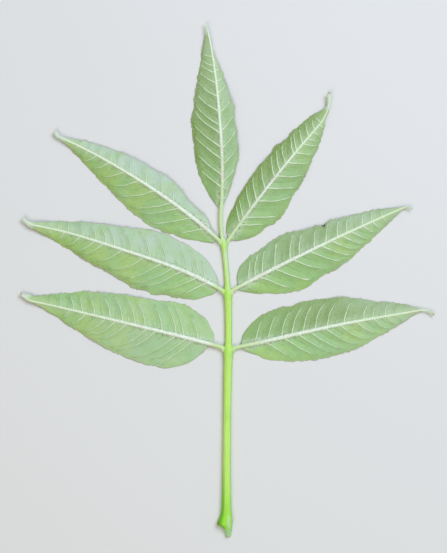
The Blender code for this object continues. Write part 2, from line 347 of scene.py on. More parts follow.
class Leaflet:
    """A leaflet's midrib, its two halves and how it stands off the floor."""

    def __init__(self, name, node, start, heading, length, bend, stance, tail, rib, crisp, left, right):
        self.name = name
        self.node = node  # which joint of the stalk carries it, counted from below
        self.start = start  # x and y of the blade's base
        self.heading = heading  # degrees, 0 points to the right and 90 along the stalk
        self.length = length
        self.turn, self.sway, self.hook, self.hook_share = bend  # degrees, and the share that hooks
        self.fold, self.crown, self.tip_lift = stance  # degrees of slope, then mm
        self.tail_share, self.tail_half_width = tail[:2]  # the drip tip: where it begins, how wide it is
        self.narrows_from, self.narrows_over = tail[2:]  # shares over which the blade runs out into it
        self.rib_half_width, self.rib_green = rib  # mm; the midrib is lime green over its first part
        self.crisp = crisp  # 0 has side veins that fade early, 1 has strong ones out to the margin
        self.halves = {1: left, -1: right}  # by the sign of an offset from the midrib
        self.seed = sum(map(ord, name))


# %% The two lowest leaflets
LEAFLETS = [
    Leaflet("leaflet_left_1", node=0, start=(-5.6, -27.8), heading=164.7, length=87.0,
            bend=(3.8, 0.8, -45.0, 0.08), stance=(9.0, 2.4, 2.0), tail=(0.97, 0.7, 0.99, 0.02),
            rib=(0.95, 3.0), crisp=0.4,
            left=Half(outline=(15.3, 0.56, 1.30, 0.029, 0.95),
                      bulges=((5, -0.5, 3), (17, 0.4, 4)),
                      angle=51, bend=0.55,
                      veins=(8.5, 12, 17, 25.5, 29.5, 38.5, 43.5, 48, 57, 64),
                      wax_and_reflection=(0.4, 0.0), depth=0.0, margin_shade=0.15),
            right=Half(outline=(13.0, 0.34, 0.85, 0.01, 0.97),
                       bulges=((3.2, -1.3, 2.2), (18, 0.9, 5), (33, -0.8, 7), (60, 0.7, 5),
                               (83.5, 1.7, 2.6)),
                       angle=66, bend=0.8,
                       veins=(7, 13.5, 17, 23, 30.5, 35, 40.5, 46, 53, 58.5, 62.5, 68, 73),
                       wax_and_reflection=(0.3, 0.1), depth=0.1, margin_shade=0.1)),
    Leaflet("leaflet_right_1", node=0, start=(6.0, -28.3), heading=11.7, length=85.2,
            bend=(-0.8, 3.3, -60.0, 0.08), stance=(10.0, 2.4, 1.6), tail=(0.945, 0.42, 0.83, 0.24),
            rib=(1.0, 16.0), crisp=0.15,
            left=Half(outline=(12.8, 0.45, 0.96, 0.004, 0.955),
                      bulges=((4, -0.4, 2), (25, -0.7, 3), (45.5, 0.7, 4.5), (60, -0.6, 4)),
                      angle=65, bend=0.7,
                      veins=(5.8, 11.5, 17.5, 22, 27, 32.2, 37.5, 45, 53.5, 57.5, 63, 68),
                      wax_and_reflection=(0.04, 0.45), depth=1.05, margin_shade=0.3),
            right=Half(outline=(13.0, 0.91, 1.24, -0.012, 0.95),
                       bulges=((10, 0.5, 3), (28, -0.4, 7), (50, 0.3, 5)),
                       angle=44, bend=0.3,
                       veins=(10, 18, 24.5, 29.5, 36.5, 43, 50.5, 58, 64, 69),
                       wax_and_reflection=(0.12, 0.45), depth=0.0, margin_shade=0.1)),
]

# %% The two middle leaflets
LEAFLETS += [
    Leaflet("leaflet_left_2", node=1, start=(-4.2, -3.1), heading=149.8, length=90.1,
            bend=(24.6, 7.1, -60.0, 0.07), stance=(11.0, 2.7, 2.4), tail=(0.955, 0.72, 0.96, 0.03),
            rib=(0.95, 4.0), crisp=0.25,
            left=Half(outline=(13.6, 0.62, 1.28, -0.012, 1.01),
                      bulges=((6, 0.7, 2.5), (19, -0.5, 4), (24.5, 0.7, 2.5), (34.5, 0.9, 3.5),
                              (48, -0.7, 5)),
                      angle=48, bend=0.5,
                      veins=(5, 9.5, 16.5, 20.5, 26, 34, 44, 52.5, 56.5, 63, 70, 76),
                      wax_and_reflection=(0.15, 0.0), depth=0.0, margin_shade=0.65),
            right=Half(outline=(11.5, 0.63, 1.50, 0.003, 1.05),
                       bulges=((34, 0.6, 5), (47, -0.6, 5)),
                       angle=60, bend=0.8,
                       veins=(6, 9, 14.5, 24, 31.5, 40, 47.5, 51.5, 56, 62, 68.5, 73, 78),
                       wax_and_reflection=(0.8, 0.55), depth=0.05, margin_shade=0.0)),
    Leaflet("leaflet_right_2", node=1, start=(3.8, -3.3), heading=27.9, length=83.9,
            bend=(-4.7, 0.3, -65.0, 0.05), stance=(11.0, 2.6, 1.8), tail=(0.955, 0.34, 0.81, 0.26),
            rib=(0.95, 9.0), crisp=0.8,
            left=Half(outline=(10.6, 0.37, 1.16, 0.02, 1.05),
                      bulges=((15, -0.5, 4), (27.5, 0.9, 5.5), (41, -0.5, 6), (45, -0.8, 1.3)),
                      angle=62, bend=0.5,
                      veins=(6, 9, 12.5, 18.5, 26, 30.5, 37.5, 43, 48.5, 53, 60.5, 65, 70),
                      wax_and_reflection=(0.25, 0.55), depth=1.0, margin_shade=0.3),
            right=Half(outline=(13.1, 0.85, 1.60, 0.0, 1.05),
                       bulges=((11, -0.5, 4), (25.5, 0.7, 5), (35.5, -1.0, 4), (49, 0.4, 3)),
                       angle=46, bend=0.25,
                       veins=(3.5, 10.5, 18, 27, 35, 40.5, 45.5, 50.5, 55, 60.5, 65, 70),
                       wax_and_reflection=(0.05, 0.3), depth=0.2, margin_shade=0.2)),
]

# %% The two highest leaflets and the one at the end
LEAFLETS += [
    Leaflet("leaflet_left_3", node=2, start=(-4.5, 18.1), heading=137.3, length=84.5,
            bend=(20.9, 2.3, -60.0, 0.05), stance=(12.0, 2.6, 2.2), tail=(0.95, 0.85, 0.80, 0.30),
            rib=(0.95, 6.0), crisp=0.3,
            left=Half(outline=(13.4, 1.0, 1.68, -0.038, 1.05),
                      bulges=((16, -0.5, 2.5), (27, 0.4, 4), (50, -0.5, 5)),
                      angle=47, bend=0.4,
                      veins=(6, 13.5, 20.5, 24.5, 33.5, 41.5, 49, 56.5, 63, 67, 72),
                      wax_and_reflection=(0.1, 0.0), depth=0.2, margin_shade=0.4),
            right=Half(outline=(7.3, 1.09, 1.45, -0.004, 1.05),
                       bulges=((9.5, 0.8, 3.5), (18, -0.9, 4.5), (31, 0.5, 6)),
                       angle=50, bend=0.0,
                       veins=(11, 17, 24, 30, 38, 46, 52, 56, 61.5, 67, 72),
                       wax_and_reflection=(0.95, 0.9), depth=0.0, margin_shade=0.0)),
    Leaflet("leaflet_right_3", node=2, start=(0.5, 17.6), heading=54.9, length=78.0,
            bend=(-7.9, -0.1, 50.0, 0.20), stance=(12.0, 2.6, 3.0), tail=(0.925, 0.85, 0.83, 0.13),
            rib=(0.78, 30.0), crisp=0.85,
            left=Half(outline=(8.3, 0.43, 0.70, 0.013, 1.02),
                      bulges=((14, -0.4, 4), (44, 0.8, 1.8), (49.5, -0.5, 3)),
                      angle=51, bend=0.4,
                      veins=(8.5, 11, 16, 20.5, 26.5, 33, 36.5, 40.5, 46, 48, 52, 56, 60, 64),
                      wax_and_reflection=(0.0, 0.1), depth=1.1, margin_shade=0.8),
            right=Half(outline=(11.8, 0.57, 1.0, 0.008, 0.868),
                       bulges=((13.5, -0.5, 3), (22, 0.8, 4.5), (32.5, -0.6, 4), (58, 0.6, 4)),
                       angle=51, bend=0.25,
                       veins=(3, 7.5, 11.5, 20.5, 27.5, 34, 41.5, 47, 52, 55, 59, 63),
                       wax_and_reflection=(0.1, 0.2), depth=0.45, margin_shade=0.5)),
    Leaflet("leaflet_end", node=2, start=(-2.7, 31.5), heading=85.9, length=79.9,
            bend=(17.7, 2.7, 0.0, 0.05), stance=(12.0, 2.7, 2.6), tail=(0.96, 0.34, 0.855, 0.245),
            rib=(0.86, 38.0), crisp=1.0,
            left=Half(outline=(12.2, 0.79, 1.37, -0.008, 1.04),
                      bulges=((28, -0.3, 6), (39, 0.5, 3)),
                      angle=51, bend=0.4,
                      veins=(8, 13.5, 20.5, 25.5, 31.5, 35, 41, 47.5, 53.5, 58, 61, 65),
                      wax_and_reflection=(0.05, 0.28), depth=0.95, margin_shade=0.9),
            right=Half(outline=(7.1, 1.12, 1.36, -0.021, 0.88),
                       bulges=((21, 0.8, 2.5), (36.5, -0.7, 3.5), (43, 0.4, 2)),
                       angle=43, bend=0.3,
                       veins=(10.5, 18, 25, 32.5, 40.5, 49, 54, 59),
                       wax_and_reflection=(0.27, 0.6), depth=0.6, margin_shade=0.1)),
]

TANNED_POINTS = ("leaflet_left_1", "leaflet_right_1", "leaflet_right_3")
POINT_TAN = (0.1, 0.75)  # share of brown on the last millimetre of the others and of these
GREEN_TAILS = ("leaflet_right_1", "leaflet_right_2")  # the drip tips of the others are whitish
TAIL_PALE = (1.0, 0.3)  # share of white on the tips of the others and of these
SCAR = ("leaflet_right_2", 1, 45.6, 0.8)  # a small brown wound in a nick: which half, where, reach
vein_count = sum(len(half.veins) for leaflet in LEAFLETS for half in leaflet.halves.values())
print(len(LEAFLETS), "leaflets with", vein_count, "side veins")

# %% The midrib's line and the halves' widths
PATH_STEPS = 960
TIP_HALF_WIDTH = 0.22
TIP_ROUNDS = 0.8  # mm before its end from which a tip rounds off
NECK = 0.4  # share by which a drip tip is narrower where it begins
NECK_REACH = 0.014  # share of the length
SEAT_HALF_WIDTH = 0.42  # of the narrow strip of blade beside the rib at the base
SEAT_FADES = 0.17  # share of the length
BLEND = 4  # the larger, the more suddenly the blade's own width takes over from seat and tail


def midrib_line(leaflet):
    """Points of the midrib in plan and its heading, at even steps along it."""
    t = np.linspace(0.0, 1.0, PATH_STEPS + 1)
    hooked = np.clip((t - 1.0) / leaflet.hook_share + 1.0, 0.0, 1.0)
    sway = leaflet.sway * np.sin(2 * math.pi * t) / 2
    heading = np.radians(leaflet.heading + leaflet.turn * t + sway + leaflet.hook * hooked)
    step = leaflet.length / PATH_STEPS
    x = leaflet.start[0] + np.r_[0.0, np.cumsum(np.cos(heading[:-1]))] * step
    y = leaflet.start[1] + np.r_[0.0, np.cumsum(np.sin(heading[:-1]))] * step
    return t, x, y, heading


def half_width(leaflet, sign, t):
    """Width from the midrib to the margin, without its teeth."""
    half = leaflet.halves[sign]
    s = np.clip((t - half.begins) / (half.ends - half.begins), 0.0, 1.0)
    peak = half.base_power / (half.base_power + half.tip_power)
    grows = (s / peak) ** half.base_power
    falls = ((1.0 - s) / (1.0 - peak)) ** half.tip_power
    width = half.widest * grows * falls
    along = t * leaflet.length
    width = width + sum(height * bell(along - place, reach) for place, height, reach in half.bulges)
    width = width * (1.0 - smooth((t - leaflet.narrows_from) / leaflet.narrows_over))
    rounded = np.sqrt(np.clip((1.0 - t) * leaflet.length / TIP_ROUNDS, 0.0, 1.0))
    neck = 1.0 - NECK * bell(t - leaflet.tail_share, NECK_REACH)
    tail = np.maximum(leaflet.tail_half_width * rounded * neck, TIP_HALF_WIDTH)
    least = np.maximum(tail, SEAT_HALF_WIDTH * (1.0 - smooth(t / SEAT_FADES)))
    return (np.maximum(width, 0.0) ** BLEND + least ** BLEND) ** (1 / BLEND)


for leaflet in LEAFLETS:
    widths = [half_width(leaflet, sign, np.linspace(0.0, 1.0, PATH_STEPS + 1)).max() for sign in (1, -1)]
    print(leaflet.name, leaflet.length, "mm long,", round(float(sum(widths)), 1), "mm wide")

# %% [markdown]
# ## How a leaflet stands off the floor
#
# Picked leaves don't lie like paper. The midrib is stiff, so each leaflet is a low tent: its two halves
# slope from the midrib down to margins that touch the floor. The margins also wave a little, and the tips
# curl up.

# %% The height of a leaflet's lower face
BASE_HEIGHT = 0.95
BASE_FADES = 0.3  # this and the next four are shares of the length
ARCH_RISES = 0.35
ARCH_FALLS = 0.5
CURL_BEGINS = 0.75
CURL_REACH = 0.3
MARGIN_WAVE = 0.32  # height of the margin's waves
WAVE_LENGTH = 17.0
WAVE_ENDS = 6  # the waves grow over a sixth of the length at both ends
LIFT_OFF_FLOOR = 0.03


def rib_height(leaflet, t):
    """Height of the blade's lower face under the midrib."""
    base = BASE_HEIGHT * (1.0 - smooth(t / BASE_FADES))
    arch = leaflet.crown * smooth(t / ARCH_RISES) * smooth((1.0 - t) / ARCH_FALLS)
    return base + arch + leaflet.tip_lift * smooth((t - CURL_BEGINS) / CURL_REACH)


def blade_height(leaflet, t, offset, share, sign):
    """Height of the lower face at an offset from the midrib, a share of the half's width."""
    slope = math.tan(math.radians(leaflet.fold))
    tent = rib_height(leaflet, t) - slope * offset
    wave = MARGIN_WAVE * wander(t * leaflet.length, leaflet.seed + sign, WAVE_LENGTH)
    height = tent + wave * share ** 2 * smooth(t * WAVE_ENDS) * smooth((1.0 - t) * WAVE_ENDS)
    return np.maximum(height, LIFT_OFF_FLOOR)


for leaflet in LEAFLETS:
    height = rib_height(leaflet, np.linspace(0.0, 1.0, PATH_STEPS + 1)).max()
    print(leaflet.name, "stands up to", round(float(height), 1), "mm high under its midrib")

# %% [markdown]
# ## Veins first, then the grid
#
# Side veins are the leaf's signature, so the grid is laid along them: every row of points starts at the
# midrib and runs out the way a vein does, forwards and in a curve towards the tip. Rows crowd together
# where a vein starts. A ridge then follows its own rows exactly, with no stair steps, at a fraction of
# the points of an even grid.

# %% Where rows and veins lie
ROWS = 300
COLUMNS = 38  # from the midrib to a margin
CROWDING = 3.0  # how many more rows there are on a vein than between veins
MINOR_CROWDING = 0.6  # of that, on a minor vein
CROWD_REACH = 0.8  # mm
FINE_STEPS = 4000
LOOK_AHEAD = 0.07  # a vein ends about this share of the length further on than it starts
BEND_POWER = 3.2
WAVER = 0.0022  # share of the length by which a vein strays from its curve


def row_starts(leaflet, half):
    """Shares of the length at which the rows leave the midrib."""
    fine = np.linspace(0.0, leaflet.length, FINE_STEPS + 1)
    density = 1.0 + CROWDING * sum(bell(fine - vein, CROWD_REACH) for vein in half.veins)
    minor = sum(bell(fine - vein, CROWD_REACH) for vein in half.minor_veins)
    density += MINOR_CROWDING * CROWDING * minor
    passed = np.r_[0.0, np.cumsum((density[1:] + density[:-1]) / 2)]
    return np.interp(np.linspace(0.0, passed[-1], ROWS + 1), passed, fine) / leaflet.length


def place_on_rows(leaflet, sign, s, share):
    """How far along the midrib a row that starts at s has come at a share of the width."""
    half = leaflet.halves[sign]
    width = half_width(leaflet, sign, np.minimum(s + LOOK_AHEAD, 1.0)) - 1.0
    forward = np.maximum(width, 0.0) / math.tan(math.radians(half.angle)) / leaflet.length
    bent = share + half.bend * share ** BEND_POWER
    wavers = WAVER * wander(s * 17.0 + 1.6 * share, leaflet.seed + sign, 1.0) * smooth(share * 3)
    return s + (forward * bent + wavers * smooth((1.0 - s) * 8)) * smooth(s / 0.08)


def column_shares():
    """From 0 at the midrib to 1 at the margin, closer together at both ends."""
    even = np.linspace(0.0, 1.0, COLUMNS + 1)
    return 0.5 * even + 0.25 * (1.0 - np.cos(math.pi * even))


print("columns of a half, narrowest", round(float(np.diff(column_shares()).min()), 4), "of its width")

# %% [markdown]
# ## Relief and teeth
#
# The underside has three kinds of relief: side veins that stand out as rounded ridges, fork and sink away
# before the margin, the panels between them that are dished, and a margin of small forward teeth about 3
# mm apart. The blade itself is 0.4 mm thick and thins to the margin. On the upper side, which faces the
# floor, the veins are grooves. The first and the last vein of a half are faint, and so is one here and
# there between two strong ones.

# %% Teeth along the margin
TOOTH_PITCH = 3.1
TOOTH_RISE = 0.75  # share of the pitch; the rest is the fall
TOOTH_STRAY = 1.1  # mm by which a tooth is off its even place
TOOTH_HEIGHT = 0.46


def teeth(leaflet, sign, t):
    """Height of the margin's teeth: a slow rise towards the tip, then a quick fall."""
    along = t * leaflet.length + TOOTH_STRAY * wander(t * leaflet.length, leaflet.seed + 3 * sign, 9.0)
    phase = np.mod(along / TOOTH_PITCH, 1.0)
    tooth = np.where(phase < TOOTH_RISE, phase / TOOTH_RISE, (1.0 - phase) / (1.0 - TOOTH_RISE))
    size = 0.7 + 0.6 * wander(along, leaflet.seed + 7 * sign, 19.0)
    return TOOTH_HEIGHT * tooth * size * smooth((t - 0.05) * 9) * smooth((leaflet.tail_share - t) * 9)


# %% Side veins and their forks
VEIN_REACH = (0.26, 0.13)  # half width at the midrib and at the margin
VEIN_STRENGTHS = (0.7, 1.0)
VEIN_ENDS = (0.86, 0.98)  # shares of the width
BASE_VEINS = 9.0  # mm over which the first veins are fainter
FORKED = 0.4  # share of the veins
FORK_BEGINS = 0.55  # share of the width
FORK_OPENS = (2.0, 4.0)  # mm by which a branch would leave its vein over the whole width
FORK_STRENGTH = 0.5
MINOR_STRENGTHS = (0.15, 0.42)
MINOR_ENDS = (0.3, 0.6)


def veins_at(leaflet, sign, s, share):
    """How strongly a side vein, one of its forks or the panel between veins shows at each point."""
    half = leaflet.halves[sign]
    across = math.sin(math.radians(half.angle))
    luck = np.random.default_rng(leaflet.seed + sign)
    reach = (VEIN_REACH[0] + (VEIN_REACH[1] - VEIN_REACH[0]) * share) * (1.0 + 0.25 * leaflet.crisp)
    ridge = np.zeros(np.broadcast(s, share).shape)
    nearest = np.full(ridge.shape, 99.0)
    for vein in half.veins:
        strength = luck.uniform(*VEIN_STRENGTHS) * float(smooth(1.35 - vein / leaflet.length))
        strength *= 0.1 + 0.9 * float(smooth(vein / BASE_VEINS))
        ends = luck.uniform(*VEIN_ENDS) + 0.08 * leaflet.crisp
        opens = luck.choice((-1.0, 1.0)) * luck.uniform(*FORK_OPENS)
        forked = FORK_STRENGTH * float(luck.uniform() < FORKED)
        distance = (s * leaflet.length - vein) * across
        fades = smooth((ends - share) / 0.25) * (1.0 - (0.5 - 0.45 * leaflet.crisp) * share)
        ridge = np.maximum(ridge, strength * fades * bell(distance, reach))
        fork = np.clip(share - FORK_BEGINS - 0.1 * strength, 0.0, 1.0)
        branch = bell(distance - opens * fork, 0.8 * reach) * smooth(fork * 16)
        ridge = np.maximum(ridge, forked * strength * branch * smooth((ends + 0.04 - share) / 0.2))
        nearest = np.minimum(nearest, np.abs(distance))
    for vein in half.minor_veins:
        distance = (s * leaflet.length - vein) * across
        fades = luck.uniform(*MINOR_STRENGTHS) * smooth((luck.uniform(*MINOR_ENDS) - share) / 0.2)
        fades = fades * smooth((0.82 - vein / leaflet.length) / 0.15)
        ridge = np.maximum(ridge, fades * bell(distance, 0.8 * reach))
    return ridge, nearest


# %% Dished panels
PANEL_DEPTH = 0.46


def dish_depth(leaflet, t):
    """How far veins and midrib stand above the dished panels: less where the blade is narrow."""
    narrow = np.minimum(half_width(leaflet, 1, t), half_width(leaflet, -1, t))
    return PANEL_DEPTH * smooth(narrow / 5)


# %% What the materials read


def blade_values(leaflet, sign, t, share, width, offset, ridge):
    """Where a point of a half is, and how much wax, vein, down or brown shows there."""
    half = leaflet.halves[sign]
    along = t * leaflet.length
    from_margin = (1.0 - share) * width
    tip = smooth((t - leaflet.tail_share) / 0.05 + 1.0)
    wax_and_reflection = half.wax_and_reflection[0] + (half.wax_and_reflection[1] - half.wax_and_reflection[0]) * smooth((t - 0.35) / 0.55)
    scar = bell(np.hypot(along - SCAR[2], from_margin - 0.3), SCAR[3])
    return {
        "vein": ridge,
        "from_margin": from_margin,
        "from_midrib": offset,
        "wax_and_reflection": wax_and_reflection * smooth(0.35 + offset / 2.5),
        "depth": half.depth * (1.25 - 0.6 * t) * smooth(0.4 + offset / 3.0),
        # painted shade under the hair tufts beside the midrib, near the base
        "shade_under_hairs": (1.0 - smooth((offset - 0.8) / 1.7)) * (1.0 - smooth((t - 0.22) / 0.3)),
        "felt": (1.0 - smooth((offset - 0.8) / 2.4)) * (1.0 - smooth((t - 0.06) / 0.2)),
        "scar": scar * float((leaflet.name, sign) == SCAR[:2]),
        "margin_shade": half.margin_shade * (1.0 - smooth(from_margin / 4.5)) * smooth(t * 8),
        "tip": tip,
        "pale_tip": TAIL_PALE[leaflet.name in GREEN_TAILS] * tip ** 2,
        "point": POINT_TAN[leaflet.name in TANNED_POINTS] * smooth(along - leaflet.length + 1.4),
        "leaf_mm": np.stack([along, offset * sign, np.full_like(t, leaflet.seed)], axis=-1),
    }


# %% One blade from two halves
BLADE_THICKNESS = 0.40
MARGIN_THICKNESS = 0.16
VEIN_HEIGHT = 0.45
GROOVE_DEPTH = 0.10
PANEL_REACH = 2.6  # mm from a vein to the floor of a panel
RIB_BANK = 1.3  # mm; the blade rises beside the midrib
SEAM_REACH = 0.7  # mm from the midrib over which the rows of both halves come together
TUCK = 0.3  # by this much the blade thins where it runs out under the stalklet
TOOTH_REACH = 7.0  # the larger, the less the teeth pull on the rows inside the margin
OUTLINE_WAVE = 0.20


def blade_half(leaflet, sign, seam):
    """Grids of points and values for one half of a leaflet, from midrib to margin."""
    line_t, line_x, line_y, line_heading = midrib_line(leaflet)
    share = column_shares()[None, :]
    s = row_starts(leaflet, leaflet.halves[sign])[:, None]
    t = place_on_rows(leaflet, sign, s, share)
    width = half_width(leaflet, sign, t)
    t = t + (seam[:, None] - s) * (1.0 - smooth(share * width / SEAM_REACH))
    broad = smooth(width / 4)  # narrow tips keep an even outline
    grown = width + OUTLINE_WAVE * wander(t * leaflet.length, leaflet.seed + 5 * sign, 9.0) * broad
    offset = share * width + share ** TOOTH_REACH * (grown - width + teeth(leaflet, sign, t))
    heading = np.interp(t, line_t, line_heading)
    px = np.interp(t, line_t, line_x) - np.sin(heading) * offset * sign
    py = np.interp(t, line_t, line_y) + np.cos(heading) * offset * sign

    ridge, nearest = veins_at(leaflet, sign, s, share)
    panel = (1.0 - smooth(nearest / PANEL_REACH)) * smooth((1.0 - share) / 0.5)
    raised = np.minimum(panel + bell(offset, RIB_BANK), 1.0) * dish_depth(leaflet, t)
    under = blade_height(leaflet, t, offset, share, sign)
    thick = MARGIN_THICKNESS + (BLADE_THICKNESS - MARGIN_THICKNESS) * smooth((1.0 - share) / 0.15)
    tuck = TUCK * (1.0 - smooth(t * leaflet.length / 2.0)) * (1.0 - smooth((width - 0.5) / 1.0))
    lower = np.stack([px, py, under + raised + tuck + GROOVE_DEPTH * ridge], axis=-1)
    upper = np.stack([px, py, under + raised + thick + VEIN_HEIGHT * ridge], axis=-1)
    return upper, lower, blade_values(leaflet, sign, t, share, width, offset, ridge)


def whole_blade(leaflet):
    """Both halves side by side, from the right margin to the left one."""
    starts = [row_starts(leaflet, leaflet.halves[sign]) for sign in (-1, 1)]
    seam = (starts[0] + starts[1]) / 2
    right, left = blade_half(leaflet, -1, seam), blade_half(leaflet, 1, seam)

    def join(a, b):
        return np.concatenate([a[:, :0:-1], b], axis=1)

    values = {key: join(right[2][key], left[2][key]) for key in left[2]}
    return join(right[0], left[0]), join(right[1], left[1]), values


# %% [markdown]
# ## Coats of colour
#
# A leaf's colour is many things on top of each other: tissue, wax, veins, down, a brown rim. Each is one
# coat of paint here: a hex colour laid over what is below it, with a share that says where it shows. The
# share comes from noise, or from a value that the mesh carries for each point, and is eased between two
# limits.

# %% A coat of colour over another
FACTOR, FIRST, SECOND, MIXED = 0, 6, 7, 2  # sockets of a Mix node that mixes colours


def lay_over(tree, under, over, *factors):
    """Lays a hex colour over another colour. How much of it shows is the product of the factors.

    A factor is a node's output, or an output with low, high, first and last: it then eases from
    first to last while the output goes from low to high.
    """
    shares = [add(tree, "ShaderNodeMapRange", dict(enumerate(factor)), interpolation_type="SMOOTHSTEP")
              if isinstance(factor, tuple) else factor for factor in factors]
    share = shares[0]
    for other in shares[1:]:
        share = add(tree, "ShaderNodeMath", {0: share, 1: other}, operation="MULTIPLY")
    mix = {FACTOR: share, FIRST: under, SECOND: linear(over)}
    return add(tree, "ShaderNodeMix", mix, MIXED, data_type="RGBA")


# %% [markdown]
# ## The underside of the blade
#
# Leaf tissue seen from below: a matt skin over spongy cells, which scatters light and makes the green
# pale and milky. On it lies a bloom of wax, pale and bluish where it is whole and gone where it was
# rubbed off, and on the halves that face the cool light a painted reflection of that light lies in the
# same colour. The green drifts between a yellower and a deeper tone over a few centimetres; some halves
# are deeper, partly with painted shade where they face away from the cool light, and painted olive shade
# lies along stretches of the margin where it curls away. Each vein has a pale crest between two shaded
# feet. Beside the midrib lies a thin felt of hairs, with painted shade under its tufts near the
# leaflet's base. The margin has a thin brownish rim, and the drip tips are whitish. Skin wax has an IOR
# near 1.45.
#
# A painted picture could show all this, but noise and point values need no picture and stay sharp from
# near by. The real net of finest veins has cells of about 0.4 mm, less than a pixel here, so it is drawn
# 1.3 mm across.

# %% The patterns of the underside
NET_CELL = 1.3  # mm
UNDERSIDE_NOISES = (  # name, size of a patch in mm, detail, roughness
    ("drift", 14.286, 3.0, 0.5),  # slow changes of the green
    ("mottle", 2.2222, 4.0, 0.7),  # small clouds between two side veins
    ("patches", 10.0, 2.0, 0.5),  # stretches of the margin that get painted olive shade and a brown rim
    ("worn", 7.6923, 5.0, 0.6),  # where the wax was rubbed off, which also breaks up the painted reflection
    ("dots", 1.25, 5.0, 0.75),  # gaps between the hairs, for the white felt and the painted shade under its tufts, coarser than real ones so that they show
    ("grain", 0.25, 2.0, 0.5),  # the matt skin
)
UNDERSIDE_VALUES = ("from_margin", "from_midrib", "depth", "margin_shade", "wax_and_reflection", "felt", "shade_under_hairs", "vein",
                    "tip", "pale_tip", "point", "scar")


def underside_patterns(tree):
    """The mesh's point values, the noises and the net, by name."""
    place = add(tree, "ShaderNodeAttribute", output="Vector", attribute_name="leaf_mm")
    pattern = {"along": add(tree, "ShaderNodeSeparateXYZ", {0: place})}
    for name in UNDERSIDE_VALUES:
        pattern[name] = add(tree, "ShaderNodeAttribute", output="Fac", attribute_name=name)
    for name, size, detail, roughness in UNDERSIDE_NOISES:
        noise = {"Vector": place, "Scale": 1.0 / size, "Detail": detail, "Roughness": roughness}
        pattern[name] = add(tree, "ShaderNodeTexNoise", noise)
    pattern["net"] = add(tree, "ShaderNodeTexVoronoi", {"Vector": place, "Scale": 1.0 / NET_CELL},
                         feature="DISTANCE_TO_EDGE")
    for name, *limits in (
            ("net", 0.0, 0.2, 1.0, 0.0),
            ("patches", 0.35, 0.6, 0.35, 1.0),
            ("from_margin", 0.05, 0.5, 0.55, 0.0),
            ("tip", 0.2, 1.0, 0.0, 1.0)):
        eased = dict(enumerate((pattern[name], *limits)))
        pattern[name] = add(tree, "ShaderNodeMapRange", eased, interpolation_type="SMOOTHSTEP")
    rim = {0: pattern["from_margin"], 1: pattern["patches"]}
    rim = {0: add(tree, "ShaderNodeMath", rim, operation="MULTIPLY"), 1: pattern["tip"]}
    pattern["rim"] = add(tree, "ShaderNodeMath", rim, operation="SUBTRACT", use_clamp=True)
    return pattern


# %% Waxy leaf underside


def underside_material():
    """Pale, milky leaf tissue under worn wax, with a painted reflection and painted shade."""
    material, tree, shader = new_material(
        "waxy_leaf_underside", Roughness=0.52, IOR=1.45, Sheen_Weight=0.08, Sheen_Roughness=0.4)
    pattern = underside_patterns(tree)
    dots, vein = pattern["dots"], pattern["vein"]
    green = linear("#A9CE69")
    for colour, *factors in (
            ("#98C67B", (pattern["drift"], 0.35, 0.65, 0.0, 1.0)),
            ("#89A762", pattern["depth"]),  # some halves are a deeper green, partly painted shade where they face away from the cool light
            ("#84A556", (pattern["mottle"], 0.47, 0.7, 0.0, 0.45)),
            ("#9CDC86", (pattern["along"], 10.0, 40.0, 0.2, 0.0)),  # fresher near the base
            # painted shade: an olive margin where it curls away from the light
            ("#769638", pattern["margin_shade"], pattern["patches"]),
            ("#BAD1B8", pattern["wax_and_reflection"], (pattern["worn"], 0.3, 0.65, 0.55, 1.25)),  # bluish wax, with a painted reflection of the cool light
            ("#BDD3A0", (pattern["net"], 0.0, 1.0, 0.0, 0.2)),
            ("#BFD6A6", (pattern["from_midrib"], 0.7, 3.6, 0.4, 0.0)),
            ("#CFE0C6", pattern["felt"], (dots, 0.32, 0.56, 0.9, 0.25)),
            ("#6C8E52", pattern["shade_under_hairs"], (dots, 0.49, 0.62, 0.0, 0.8)),  # painted shade under the tufts of felt
            ("#6F9150", (vein, 0.02, 0.14, 0.0, 0.4)),  # the shaded feet of a vein
            ("#DFF1CB", (vein, 0.12, 0.45, 0.0, 0.9)),  # its pale crest
            ("#D6E3CA", pattern["pale_tip"]),
            ("#B6A488", pattern["rim"]),
            ("#B89060", pattern["point"]),
            ("#4A3A24", pattern["scar"])):
        green = lay_over(tree, green, colour, *factors)
    tree.links.new(green, shader.inputs["Base Color"])

    relief = add(tree, "ShaderNodeMath", {0: pattern["grain"], 1: pattern["net"]}, operation="ADD")
    bump = add(tree, "ShaderNodeBump", {"Height": relief, "Strength": 0.6, "Distance": 0.07 * MM})
    tree.links.new(bump, shader.inputs["Normal"])
    print(material.name, "has", len(tree.nodes), "nodes")
    return material


leaf_underside = underside_material()

# %% [markdown]
# ## The upper side of the blade
#
# The side that faces the floor is the leaf's sunny side: a darker, fuller green under a smoother and
# glossier skin, with the side veins as thin paler lines in grooves. Little of it shows from above, but
# the leaf is a part that can be turned over.

# %% Glossy leaf upper side
DRIFT_ABOVE = 8.3333  # mm, size of the clouds in the green


